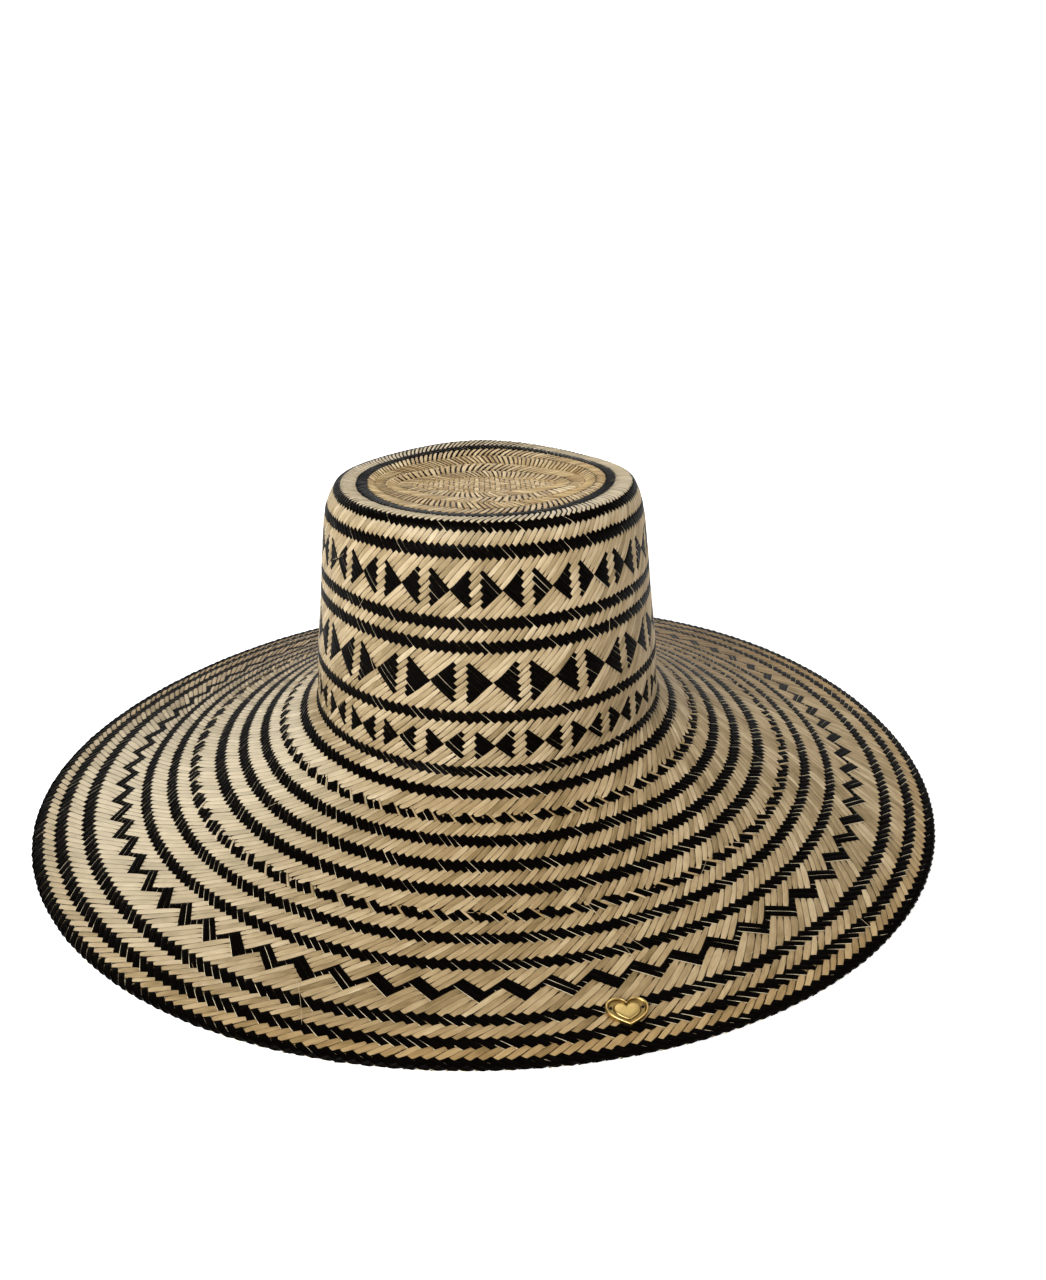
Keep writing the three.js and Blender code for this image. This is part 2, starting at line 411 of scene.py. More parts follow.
def float_lift(on_top, base, rise):
    """How far each ring of a strip lies over or under the middle of the weave: a base lift, and a bulge along
    each float that is a parabola from end to end, in full on floats of ten rings or more."""
    spot = np.arange(on_top.shape[1])[None, :] + 0 * on_top
    starts = np.ones(on_top.shape, bool)
    starts[:, 1:] = on_top[:, 1:] != on_top[:, :-1]
    stops = np.roll(starts, -1, 1)
    begin = np.maximum.accumulate(np.where(starts, spot, 0), 1)
    end = np.minimum.accumulate(np.where(stops, spot, on_top.shape[1])[:, ::-1], 1)[:, ::-1]
    size = end - begin + 1
    share = (spot - begin + 0.5) / size
    bulge = 4 * share * (1 - share) * np.minimum(size, LONG_FLOAT_RINGS) / LONG_FLOAT_RINGS
    return np.where(on_top, 1, -1) * (base + rise * bulge)


def brown_cast_and_painted_light(level, turn):
    """How brown the undyed straw is: most in the crown's top, half as much at the brim's edge. On the crest,
    and at the left of the brim, the strips are made paler by painted light, which counts as less than nought.
    On the brim they are a little browner at the front and at the back, which is painted shade."""
    cast = EDGE_BROWN * rising(level, *EDGE_BROWN_SPAN) + TOP_BROWN * (level < TOP_END)
    cast = cast - CREST_PAINTED_LIGHT * fade(level, *CREST_PAINTED_LIGHT_SPAN)
    # painted shade: the brim is browner at its front and at its back
    painted_shade = FRONT_PAINTED_SHADE * towards(turn, 0, 3) + BACK_PAINTED_SHADE * np.clip(-np.cos(turn) - BACK_BEGINS, 0, 1)
    return cast + rising(level, *BRIM_ROOT) * (painted_shade - LEFT_PAINTED_LIGHT * towards(turn, LEFT_TURN, 4))


def end_taper(on_top):
    """Share of its width that a strip has at each ring: on floats of two crossings or more it narrows by a
    fifth at the first and the last ring and by a tenth at the ones next to them."""
    narrowed = np.zeros(on_top.shape)
    for shift, amount in ((1, 0.2), (-1, 0.2), (2, 0.1), (-2, 0.1)):
        narrowed = np.maximum(narrowed, amount * (on_top & ~np.roll(on_top, shift, 1)))
    short = on_top & ~np.roll(on_top, 2, 1) & ~np.roll(on_top, -2, 1)
    return 1 - narrowed * ~short


def strip_family(first, last, count, lean, seed, settings, groups=(), lift_share=1.0, tip_rise=0.0, width=0.0,
                 wander=1.0, lines=1.0, pale=0.0):
    """All strips of one family over a range of levels. A natural strip (lean -1) moves half a strip towards
    -X with each level down, and a dyed one (lean +1) half a strip towards +X. The two rings of a crossing are
    lifted by the same amount over or under, so the strip lies flat on what it crosses and dips between
    crossings. The bounds between strips wander slowly, and a strip fills a share of the room between its two
    bounds, measured square to the strip. Natural strips are tucked under their neighbours the other way at
    the right than at the left, by a hyperbolic tangent of the sine of the turn. Lines is the top of the draw
    for a pale rind line: the greater it is, the more strips have one."""
    rng = np.random.default_rng(seed)
    levels = np.arange(first, last + 1)
    crossing = np.repeat(levels, 2)[None, :]
    rings = (crossing + np.tile(RING_OFFSETS, len(levels))[None, :]).astype(float)
    own = np.arange(count)[:, None]
    natural = own + 0 * crossing if lean < 0 else own + crossing
    dyed = own - crossing if lean < 0 else own + 0 * crossing
    on_top = dyed_on_top(crossing + 0 * own, natural, dyed) == (lean > 0)
    bound = slow_wander(rng, count, rings, settings.width_variation * wander)
    for group in groups:
        bound = bound + grouped_bounds(own, rings, *group)
    after = np.roll(bound, -1, 0)
    room = np.clip(1 + after - bound, *ROOM_LIMITS)
    place = own + (bound + after) / 2 + lean * rings / 2
    turn = turn_of(place, rings, count)
    sway = RING_SWAY * np.sin(SWAYS_ROUND * 2 * math.pi * place / count + rings / SWAY_LEVELS)
    swayed = rings + (sway + slow_wander(rng, count, rings, RING_WANDER))
    point, normal, sideways, down = middle_of_weave(place, swayed, count)
    along = unit(down + lean * sideways / 2)
    spacing = np.linalg.norm(np.cross(sideways, along), axis=-1)
    lift = float_lift(on_top, settings.strip_lift * lift_share, settings.float_rise)
    lift += slow_wander(rng, count, rings, LIFT_WANDER)
    lift += tip_rise * (long_float(crossing, natural) & (lean < 0))
    tuck = np.full(turn.shape, DYED_TUCK)
    if lean < 0:
        tuck = -np.tanh(TUCK_STEEPNESS * (np.sin(turn) - TUCK_CHANGE))
        room = room * end_taper(on_top) * (1 - fade(rings, *CREST_NARROW_SPAN, CREST_NARROWING))
    roll = slow_wander(rng, count, rings, ROLL_WANDER) + settings.strip_roll * tuck
    across = unit(np.cross(normal, along))
    across, up = across + normal * roll[..., None], normal - across * roll[..., None]
    share = settings.strip_width_share + width - rng.uniform(0, WIDTH_SPREAD, (count, 1))
    return {
        "centre": point + normal * lift[..., None], "across": across, "up": up,
        "half_width": spacing * room * share / 2, "levels": rings + 0 * own, "dyed": dyed,
        # pale lightens the tone: painted light on the crown's top
        "tone": pale + np.repeat(rng.uniform(0, 1, (count, 1)), rings.shape[1], 1),
        "selvage": np.repeat(rng.uniform(0, lines, (count, 1)), rings.shape[1], 1),
        "dye": np.full(turn.shape, 1.0 if lean > 0 else 0.0), "brown": brown_cast_and_painted_light(rings, turn),
        "sunk": 1.0 * (~on_top & (rings < TOP_END)), "tuck": tuck,
    }


def twill_strips(along_x, seed, settings):
    """The twill in the middle of the crown's top: straight strips that span an oval and tuck in under the
    first ring. The strip along X passes over where the numbers of both strips add up to nought or one, modulo
    four. Past the oval a strip's rings lie a hundredth of their spacing apart, so it ends there."""
    rng = np.random.default_rng(seed)
    counts = [int(2 * reach / TWILL_PITCH) - 1 for reach in TWILL_REACH]
    other_count, own_count = counts if along_x else counts[::-1]
    span, side = TWILL_REACH if along_x else TWILL_REACH[::-1]
    own = np.arange(own_count)[:, None]
    other = np.repeat(np.arange(other_count), 2)[None, :]
    steps = other - (other_count - 1) / 2 + np.tile(RING_OFFSETS, other_count)[None, :]
    run = steps * TWILL_PITCH + 0.0 * own
    offset = (own - (own_count - 1) / 2) * TWILL_PITCH
    chord = span * np.sqrt(1 - (offset / side) ** 2)
    past = np.clip(np.abs(run) - chord, 0, None)
    run = np.sign(run) * (np.abs(run) - 0.99 * past)
    on_top = ((own + other) % 4 < 2) == along_x
    lift = float_lift(on_top, settings.strip_lift * TWILL_LIFT_SHARE, settings.float_rise)
    bound = slow_wander(rng, own_count, run / TWILL_PITCH, TWILL_WANDER)
    after = np.roll(bound, -1, 0)
    offset = offset + (bound + after) / 2 * TWILL_PITCH
    x, y = (run, offset) if along_x else (offset, run)
    outwards = (x / TWILL_REACH[0]) ** 2 + (y / TWILL_REACH[1]) ** 2
    z = TWILL_HEIGHT - MIDDLE_DEPTH + TWILL_RISE * outwards + lift
    ones = np.ones_like(x)
    zero = np.zeros_like(x)
    room = np.clip(1 + after - bound, *TWILL_ROOM)
    return {
        "centre": np.stack([x, y, z], -1), "up": np.stack([zero, zero, ones], -1),
        "across": np.stack([zero, ones, zero] if along_x else [-ones, zero, zero], -1),
        "half_width": TWILL_PITCH * room * (settings.strip_width_share - TWILL_NARROWER) / 2,
        # its tone is made paler by painted light, as on the rest of the crown's top
        "tone": TOP_PAINTED_LIGHT + np.repeat(rng.uniform(0, 1, (own_count, 1)), run.shape[1], 1),
        "selvage": zero, "dye": zero, "brown": zero + TOP_BROWN, "sunk": 1.0 * ~on_top, "tuck": ones,
    }


# What a strip carries along itself: its tone, which painted light makes paler on the crown's top, its place
# in the draw for a pale rind line, dye, brown cast with painted light and shade, whether it lies in painted
# deep shade under another, and which side is tucked under its neighbour
STRIP_VALUES = ("tone", "selvage", "dye", "brown", "sunk", "tuck")


def strip_mesh(name, families, thickness):
    """One mesh of many closed strips. Each ring of a strip has three points: the left edge and the right edge
    on its flat lower face, and the ridge above them, one thickness up. Both ends are closed with a triangle.
    The edges are sharp, so the arched top is shaded smooth and the flat lower face flat."""
    places, quads, ends, uvs = [], [], [], []
    values = {key: [] for key in STRIP_VALUES}
    base = 0
    for fam in families:
        strips, rings = fam["half_width"].shape
        side = fam["across"] * fam["half_width"][..., None]
        low = fam["centre"] - fam["up"] * thickness / 2
        verts = np.stack([low - side, low + fam["up"] * thickness, low + side], 2)
        places.append(verts.reshape(-1, 3))
        ids = base + np.arange(strips * rings * 3).reshape(strips, rings, 3)
        base += strips * rings * 3
        near_ring, far_ring = ids[:, :-1], ids[:, 1:]
        sides = np.stack([near_ring, far_ring, np.roll(far_ring, -1, 2), np.roll(near_ring, -1, 2)], -1)
        quads.append(sides.reshape(-1, 4))
        ends.append(np.concatenate([ids[:, 0], ids[:, -1, ::-1]]))
        step = np.linalg.norm(np.diff(fam["centre"], axis=1), axis=-1)
        length = np.concatenate([np.zeros((strips, 1)), np.cumsum(step, 1)], 1)
        across = np.broadcast_to(np.array([0.0, 0.5, 1.0]), verts.shape[:3])
        uvs.append(np.stack([np.repeat(length[..., None], 3, 2), across], -1).reshape(-1, 2))
        for key, kept in values.items():
            kept.append(np.repeat(fam[key][..., None], 3, 2).ravel())
    quads, ends = np.concatenate(quads), np.concatenate(ends)
    corner = np.concatenate([quads.ravel(), ends.ravel()])
    starts = np.concatenate([np.arange(len(quads)) * 4, len(quads) * 4 + np.arange(len(ends)) * 3])
    mesh = bpy.data.meshes.new(name)
    mesh.vertices.add(base)
    mesh.vertices.foreach_set("co", (np.concatenate(places) * MM).astype(np.float32).ravel())
    mesh.loops.add(len(corner))
    mesh.loops.foreach_set("vertex_index", corner.astype(np.int32))
    mesh.polygons.add(len(starts))
    mesh.polygons.foreach_set("loop_start", starts.astype(np.int32))
    mesh.update(calc_edges=True)
    layer = mesh.uv_layers.new(name="strip")
    layer.uv.foreach_set("vector", np.concatenate(uvs)[corner].astype(np.float32).ravel())
    for key, kept in values.items():
        attribute = mesh.attributes.new(key, "FLOAT", "POINT")
        attribute.data.foreach_set("value", np.concatenate(kept).astype(np.float32))
    pairs = np.zeros(len(mesh.edges) * 2, np.int32)
    mesh.edges.foreach_get("vertices", pairs)
    pairs = pairs.reshape(-1, 2)
    sharp = (pairs[:, 0] % 3 == pairs[:, 1] % 3) & (pairs[:, 0] % 3 != 1)
    edge_mark = mesh.attributes.new("sharp_edge", "BOOLEAN", "EDGE")
    edge_mark.data.foreach_set("value", sharp)
    mesh.polygons.foreach_set("use_smooth", np.ones(len(starts), bool))
    return mesh


def link_piece(name, mesh, material, node):
    """Puts a finished mesh into the scene as one piece that rides on the hat and stands for a CAD node."""
    piece = bpy.data.objects.new(name, mesh)
    bpy.context.scene.collection.objects.link(piece)
    mesh.materials.append(material)
    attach(piece, BODY)
    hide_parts(node)


# Tones of the straw as places on a ramp and sRGB colours
UNDYED_TONES = [(0.05, "#5f4d31"), (0.28, "#8b7855"), (0.5, "#ad9774"), (0.72, "#c6b290"), (0.95, "#eadcc0")]
DYED_TONES = [(0.2, "#030201"), (0.6, "#0d0906"), (0.85, "#261c12")]
# Brown straw, and the painted shade at the brim's front and back, let through this share of the undyed
# colour's red, green and blue
BROWN_TINT = (0.9, 0.77, 0.54, 1.0)
# Pale cream mixed in where the brown cast is below nought, which paints light
PAINTED_LIGHT_CREAM = "#f2e6cc"
# Darker cut edge of a strip, which also paints the shade where strips meet
CUT_EDGE_AND_SHADE = "#2a1c0b"
DEEP_SHADE = "#1c1207"
RIND = "#e2d4b4"
# Brown that paints shade in the heart's recess, and a little on its field
RECESS_SHADE_BROWN = "#5c4320"
THREAD = "#0d0907"

# Patterns of the straw in cycles per mm along a strip and per width across it. Fibres are about 0.3 mm apart,
# which is as fine as shows, and several mm long. Blotches are about 12 mm long.
FIBRES = (0.22, 8.0)
BLOTCHES = (0.08, 0.6)
# Scale that keeps the patterns of two strips apart
STRIP_APART = 900.0
# Scratches of the brass in cycles per metre: 0.4 mm apart, with finer ones down to 0.1 mm between them
HAIRLINES = 2500.0
# The dark round of the floor reaches so many metres, just inside the brim's foot
DARK_ROUND = 0.222

# Their sockets go by number. Those of MIX are 0 for the factor, 6 and 7 for the two colours, and output 2 for
# the mixed one. Those of RANGE are 0 for the value, 1 and 2 for its range, and 3 and 4 for the new range.
MATH, MIX, RANGE = "ShaderNodeMath", "ShaderNodeMix", "ShaderNodeMapRange"


def to_linear(hex_colour):
    """An sRGB hex colour as linear RGBA: each channel c becomes c/12.92 up to 0.04045 and
    ((c + 0.055) / 1.055) to the power 2.4 above it."""
    parts = [int(hex_colour[k:k + 2], 16) / 255 for k in (1, 3, 5)]
    return tuple(c / 12.92 if c <= 0.04045 else ((c + 0.055) / 1.055) ** 2.4 for c in parts) + (1.0,)


def add_node(material, kind, inputs=None, **settings):
    """Adds a node to a material, sets its properties, and gives each named or numbered input a value or a
    link. A node that is given for an input stands for its first output."""
    tree = material.node_tree
    made = tree.nodes.new(kind)
    for key, value in settings.items():
        setattr(made, key, value)
    for key, value in (inputs or {}).items():
        if isinstance(value, bpy.types.Node):
            value = value.outputs[0]
        if isinstance(value, bpy.types.NodeSocket):
            tree.links.new(value, made.inputs[key])
        else:
            made.inputs[key].default_value = value
    return made


def empty_material(name):
    material = bpy.data.materials.new(name)
    material.use_nodes = True
    material.node_tree.nodes.clear()
    return material


def set_stops(ramp, stops):
    """Gives a ramp its stops, pairs of a place and an sRGB hex colour."""
    while len(ramp.elements) < len(stops):
        ramp.elements.new(0.5)
    for element, (place, colour) in zip(ramp.elements, stops):
        element.position = place
        element.color = to_linear(colour)


def strip_noise(m, along, across, number, cycles, detail):
    """Noise stretched along a strip, whose own number keeps neighbours apart."""
    x = add_node(m, MATH, {0: along, 1: cycles[0]}, operation="MULTIPLY")
    y = add_node(m, MATH, {0: across, 1: cycles[1]}, operation="MULTIPLY")
    place = add_node(m, "ShaderNodeCombineXYZ", {0: x, 1: y, 2: number})
    return add_node(m, "ShaderNodeTexNoise", {
        "Vector": place, "Scale": 1.0, "Detail": detail, "Roughness": 0.6}, noise_dimensions="3D")


def straw_material(name, is_dyed):
    """Split palm straw. Undyed, the eye gets strips that differ in tone from pale cream to brown, lengthwise
    fibres, darker cut edges that also paint the shade where strips meet, painted deep shade where a strip is
    tucked under its neighbour or dips under another, a brown tint that also paints shade on the brim's front
    and back, a pale cream that paints light on the crest and the brim's left, and a waxy gloss that breaks up
    along the fibres. Dyed, it gets a near black with a brown cast and a gloss, on many strips one pale line
    where the dye didn't take on the rind, and the undyed colour where the dye attribute is nought."""
    m = empty_material(name)
    parts = add_node(m, "ShaderNodeSeparateXYZ", {0: add_node(m, "ShaderNodeUVMap", uv_map="strip")})
    along, across = parts.outputs["X"], parts.outputs["Y"]
    tone, brown, sunk, tuck = (
        add_node(m, "ShaderNodeAttribute", attribute_name=key).outputs["Fac"]
        for key in ("tone", "brown", "sunk", "tuck"))
    number = add_node(m, MATH, {0: tone, 1: STRIP_APART}, operation="MULTIPLY")
    fibre = strip_noise(m, along, across, number, FIBRES, 3.0)
    blotch = strip_noise(m, along, across, number, BLOTCHES, 2.0)
    shade = -0.18
    for pattern, share in ((tone, 0.32), (fibre, 0.5), (blotch, 0.55)):
        shade = add_node(m, MATH, {0: pattern, 1: share, 2: shade}, operation="MULTIPLY_ADD")
    undyed_colour = add_node(m, "ShaderNodeValToRGB", {0: shade})
    set_stops(undyed_colour.color_ramp, UNDYED_TONES)
    # the brown tint darkens brown straw and also paints shade on the brim's front and back
    tinted_and_shaded = add_node(m, MIX, {0: brown, 6: undyed_colour, 7: BROWN_TINT}, data_type="RGBA",
                      blend_type="MULTIPLY")
    # painted light: where the brown cast is below nought, a pale cream is mixed in
    painted_light = add_node(m, MATH, {0: brown, 1: -0.5}, operation="MULTIPLY")
    # the outer tenth of the width at both sides darkens towards the cut edge: partly the straw's darker cut
    # edge, partly painted shade where strips meet
    off_middle = add_node(m, MATH, {0: across, 1: 0.5}, operation="SUBTRACT")
    distance = add_node(m, MATH, {0: off_middle}, operation="ABSOLUTE")
    cut_edge_and_shade = add_node(m, RANGE, {0: distance, 1: 0.4, 2: 0.5, 3: 0.0, 4: 0.75})
    # one seventh of a natural strip's width is tucked under the next strip and lies in its shade
    to_tucked = add_node(m, MATH, {0: off_middle, 1: tuck}, operation="MULTIPLY")
    tucked = add_node(m, RANGE, {0: to_tucked, 1: 0.35, 2: 0.5038, 3: 0.0, 4: 0.0 if is_dyed else 0.8})
    # where a strip of the crown's top dips under another, only deep shade shows in the gap
    dipped = add_node(m, MATH, {0: sunk, 1: 0.85}, operation="MULTIPLY")
    colour = tinted_and_shaded.outputs[2]
    layers = [(painted_light, PAINTED_LIGHT_CREAM), (cut_edge_and_shade, CUT_EDGE_AND_SHADE), (tucked, DEEP_SHADE), (dipped, DEEP_SHADE)]
    for factor, layer in layers:
        colour = add_node(m, MIX, {0: factor, 6: colour, 7: to_linear(layer)}, data_type="RGBA").outputs[2]
    if is_dyed:
        selvage, dye = (
            add_node(m, "ShaderNodeAttribute", attribute_name=key).outputs["Fac"]
            for key in ("selvage", "dye"))
        black = add_node(m, "ShaderNodeValToRGB", {0: fibre})
        set_stops(black.color_ramp, DYED_TONES)
        has_line = add_node(m, MATH, {0: selvage, 1: 0.62}, operation="GREATER_THAN")
        at_rind = add_node(m, MATH, {0: across, 1: 0.08}, operation="LESS_THAN")
        line = add_node(m, MATH, {0: at_rind, 1: has_line}, operation="MULTIPLY")
        strength = add_node(m, MATH, {0: blotch, 1: 1.2, 2: 0.3}, operation="MULTIPLY_ADD")
        rind = add_node(m, MATH, {0: line, 1: strength}, operation="MULTIPLY")
        lined = add_node(m, MIX, {0: rind, 6: black, 7: to_linear(RIND)}, data_type="RGBA")
        colour = add_node(m, MIX, {0: dye, 6: colour, 7: lined.outputs[2]}, data_type="RGBA").outputs[2]
    low, high = (0.3, 0.5) if is_dyed else (0.36, 0.62)
    surface = add_node(m, "ShaderNodeBsdfPrincipled", {
        "Base Color": colour, "Roughness": add_node(m, RANGE, {0: fibre, 3: low, 4: high}), "IOR": 1.45,
        "Specular IOR Level": 0.04 if is_dyed else 0.38,
        "Normal": add_node(m, "ShaderNodeBump", {"Strength": 0.35, "Distance": 0.0001, "Height": fibre})})
    add_node(m, "ShaderNodeOutputMaterial", {"Surface": surface})
    return m


def brass_material(colour):
    """Cast brass, polished: a warm mirror-like gold with faint hairline scratches, darkened to brown and
    roughened in the recess, and a little on the field, by painted shade."""
    m = empty_material("polished_cast_brass")
    hairline = add_node(m, "ShaderNodeTexNoise", {
        "Vector": add_node(m, "ShaderNodeTexCoord").outputs["Object"], "Scale": HAIRLINES, "Detail": 2.0},
        noise_dimensions="3D")
    recess_shade = add_node(m, "ShaderNodeAttribute", attribute_name="recess_shade").outputs["Fac"]
    polish = add_node(m, RANGE, {0: hairline, 3: 0.24, 4: 0.38})
    # painted shade: the recess, and a little of the field, is darkened towards a brown
    shade_share = add_node(m, MATH, {0: recess_shade, 1: 0.8}, operation="MULTIPLY")
    brass_with_shade = add_node(m, MIX, {0: shade_share, 6: tuple(colour) + (1.0,), 7: to_linear(RECESS_SHADE_BROWN)}, data_type="RGBA")
    surface = add_node(m, "ShaderNodeBsdfPrincipled", {
        "Base Color": brass_with_shade.outputs[2], "Metallic": 1.0,
        "Roughness": add_node(m, MATH, {0: recess_shade, 1: 0.2, 2: polish}, operation="MULTIPLY_ADD"),
        "Normal": add_node(m, "ShaderNodeBump", {"Strength": 0.12, "Distance": 0.00005, "Height": hairline})})
    add_node(m, "ShaderNodeOutputMaterial", {"Surface": surface})
    return m


def floor_material(colour, glow):
    """A matt white floor that gives off light of its own, but not under the hat, where it lies in the
    dark."""
    m = empty_material("lit_floor")
    place = add_node(m, "ShaderNodeTexCoord").outputs["Object"]
    radius = add_node(m, "ShaderNodeVectorMath", {0: place}, operation="LENGTH").outputs["Value"]
    outside = add_node(m, MATH, {0: radius, 1: DARK_ROUND}, operation="GREATER_THAN")
    surface = add_node(m, "ShaderNodeBsdfPrincipled", {
        "Base Color": tuple(colour) + (1.0,), "Roughness": 0.9, "Emission Color": (1.0, 1.0, 1.0, 1.0),
        "Emission Strength": add_node(m, MATH, {0: outside, 1: glow}, operation="MULTIPLY")})
    add_node(m, "ShaderNodeOutputMaterial", {"Surface": surface})
    return m


def thread_material():
    """Black cotton sewing thread: a dull near black with hardly any gloss."""
    m = empty_material("black_cotton_thread")
    surface = add_node(m, "ShaderNodeBsdfPrincipled", {"Base Color": to_linear(THREAD), "Roughness": 0.8})
    add_node(m, "ShaderNodeOutputMaterial", {"Surface": surface})
    return m


def straw(is_dyed):
    name = "dyed_palm_straw" if is_dyed else "undyed_palm_straw"
    return bpy.data.materials.get(name) or straw_material(name, is_dyed)


def weave_piece(name, families, is_dyed):
    """Makes one piece of the weave from its families of strips."""
    thickness = bpy.context.scene.straw_hat_weave.strip_thickness
    link_piece(name, strip_mesh(name, families, thickness), straw(is_dyed), HAT_NODE)


def undyed(family, mask):
    """Turns off the dye where mask is true."""
    family["dye"] = np.where(mask, 0.0, family["dye"])
    return family


# The heart's outline, as in the solid: half of it as two cubic curves in shares of its half width and half
# length, and the notch between its lobes
HEART_CURVES = [
    ((0.0, -1.0), (0.45, -0.66), (1.0, -0.3), (1.0, 0.33)),
    ((1.0, 0.33), (1.0, 1.0), (0.28, 1.3), (0.0, 0.62)),
]
HEART_NOTCH = (0.0, 0.62)
HEART_STEPS = 28
HEART_SIZE = (16.0, 11.4)
# It lies on the outer band of the brim: half width, half depth and height of the ring before, its own and the
# one after, its turn from the front and its twist in degrees, and the gap under it
HEART_BANDS = [(191.1, 197.5, 8.4), (211.0, 213.7, 5.4), (231.0, 229.0, 2.3)]
HEART_TURN = 12.9
HEART_TWIST = -13.0
HEART_GAP = 0.35
# Share of the outline, height and painted shade of each ring of the heart, from its back's middle to its
# field's
HEART_RINGS = [
    (0.0, 0.0, 0), (0.5, 0.0, 0), (0.95, 0.0, 0), (0.985, 0.08, 0), (1.0, 0.3, 0), (1.0, 1.65, 0),
    (0.985, 1.9, 0), (0.955, 2.0, 0), (0.925, 2.0, 0), (0.9, 1.92, 0.1), (0.875, 1.7, 0.6), (0.862, 1.1, 1),
    (0.845, 0.93, 1), (0.82, 0.9, 0.7), (0.66, 0.9, 0.7), (0.625, 0.93, 1), (0.612, 1.05, 1),
    (0.606, 1.4, 0.5), (0.59, 1.55, 0.1), (0.56, 1.6, 0.2), (0.3, 1.62, 0.3), (0.0, 1.62, 0.3),
]
STITCH_SIDES = 16
SEWING_HOLES = {"left": (-5.9, 1.9), "right": (5.9, 1.9)}
# Radius and height of each ring of a stitch, which is a round dome of thread that fills its sewing hole
STITCH_RINGS = [(0.0, 0.5), (0.5, 0.5), (0.6, 0.7), (0.6, 1.0), (0.5, 1.15), (0.28, 1.24), (0.0, 1.26)]

# Loose fibres seen on the front: level, turn, first heading, length in mm, how far its heading goes round,
# hump in mm
LOOSE_FIBRES = np.array([
    (105.6, -0.075, -1.2, 15.0, 5.4, 1.2),
    (103.0, 0.20, 0.9, 17.0, 0.3, 0.6),
    (117.0, 0.28, 1.2, 14.0, -0.4, 0.5),
    (119.0, 0.25, 0.8, 12.0, 0.5, 0.5),
    (139.5, -0.62, 0.4, 16.0, 0.4, 1.0),
    (12.0, -0.9, 2.4, 12.0, 0.5, 0.8),
])
FIBRE_POINTS = 15
FIBRE_RADIUS, FIBRE_THICKNESS = 0.1, 0.14
# A fibre starts so far over the outer face
FIBRE_GAP = 0.12
FIBRE_TONE = 0.9
# The scattered ones: between which levels, how long, how much they curl and how high their humps are
FIBRE_LEVELS = (4, 150)
FIBRE_LENGTHS = (7, 22)
FIBRE_CURL = 0.5
FIBRE_HUMPS = (0.1, 1.2)


def heart_outline():
    """Points of the closed outline, anticlockwise from the point: each half is two cubic Bezier curves, and
    the left half mirrors the right one."""
    t = np.linspace(0, 1, HEART_STEPS, endpoint=False)[:, None]
    half = [(1 - t) ** 3 * np.array(a) + 3 * t * (1 - t) ** 2 * np.array(b)
            + 3 * t * t * (1 - t) * np.array(c) + t ** 3 * np.array(d) for a, b, c, d in HEART_CURVES]
    right = np.concatenate(half)
    left = np.concatenate([np.array([HEART_NOTCH]), right[:0:-1]]) * np.array([-1.0, 1.0])
    return np.concatenate([right, left]) * np.array(HEART_SIZE) / 2


def heart_frame():
    """Where the heart lies: its middle and its axes, on the outer band of the brim, turned from the front."""
    def at(band, degrees):
        turn = math.radians(degrees)
        return Vector((band[0] * math.sin(turn), -band[1] * math.cos(turn), band[2]))
    before, own, after = HEART_BANDS
    uphill = (at(before, HEART_TURN) - at(after, HEART_TURN)).normalized()
    sideways = at(own, HEART_TURN + 1) - at(own, HEART_TURN - 1)
    up = sideways.cross(uphill).normalized()
    across = uphill.cross(up)
    twist = Matrix.Rotation(math.radians(HEART_TWIST), 3, "Z")
    axes = Matrix((across, uphill, up)).transposed() @ twist
    return np.array(at(own, HEART_TURN) + up * HEART_GAP), np.array(axes)


def fibre_tubes(starts, headings, lengths, curls, humps):
    """Thin three-sided tubes for loose fibres. Each starts at a level and a turn and runs in the plane that
    touches the hat there: its heading grows evenly from the first value by the curl, and it rises off the
    face along a parabola to its hump. It thins to both ends."""
    t = np.linspace(0, 1, FIBRE_POINTS)[None, :]
    level, turn = starts[:, 0], starts[:, 1]
    anchor, normal, sideways, down = middle_of_weave(turn * OUTER_COUNT / (2 * math.pi), level, OUTER_COUNT)
    along, right = unit(down), unit(sideways)
    heading = headings[:, None] + curls[:, None] * t
    step = lengths[:, None] / (FIBRE_POINTS - 1)
    x, y = np.cumsum(np.cos(heading), 1) * step, np.cumsum(np.sin(heading), 1) * step
    height = MIDDLE_DEPTH + FIBRE_GAP + humps[:, None] * 4 * t * (1 - t)
    centre = (anchor[:, None] + right[:, None] * x[..., None] + along[:, None] * y[..., None]
              + normal[:, None] * height[..., None])
    side = right[:, None] * -np.sin(heading)[..., None] + along[:, None] * np.cos(heading)[..., None]
    thin = FIBRE_RADIUS * (0.35 + 0.65 * np.sqrt(np.clip(4 * t * (1 - t), 0, 1)))
    zero = np.zeros(heading.shape)
    values = {key: zero for key in STRIP_VALUES}
    return {**values, "tone": zero + FIBRE_TONE, "centre": centre, "across": side, "half_width": thin + zero,
            "up": np.repeat(normal[:, None], FIBRE_POINTS, 1)}


def stacked(flat, heights):
    """Rings of points in a plane, each lifted to its own height: an array of rings by points by three."""
    lifted = np.broadcast_to(np.array(heights)[:, None, None], flat.shape[:2] + (1,))
    return np.concatenate([flat, lifted], -1)


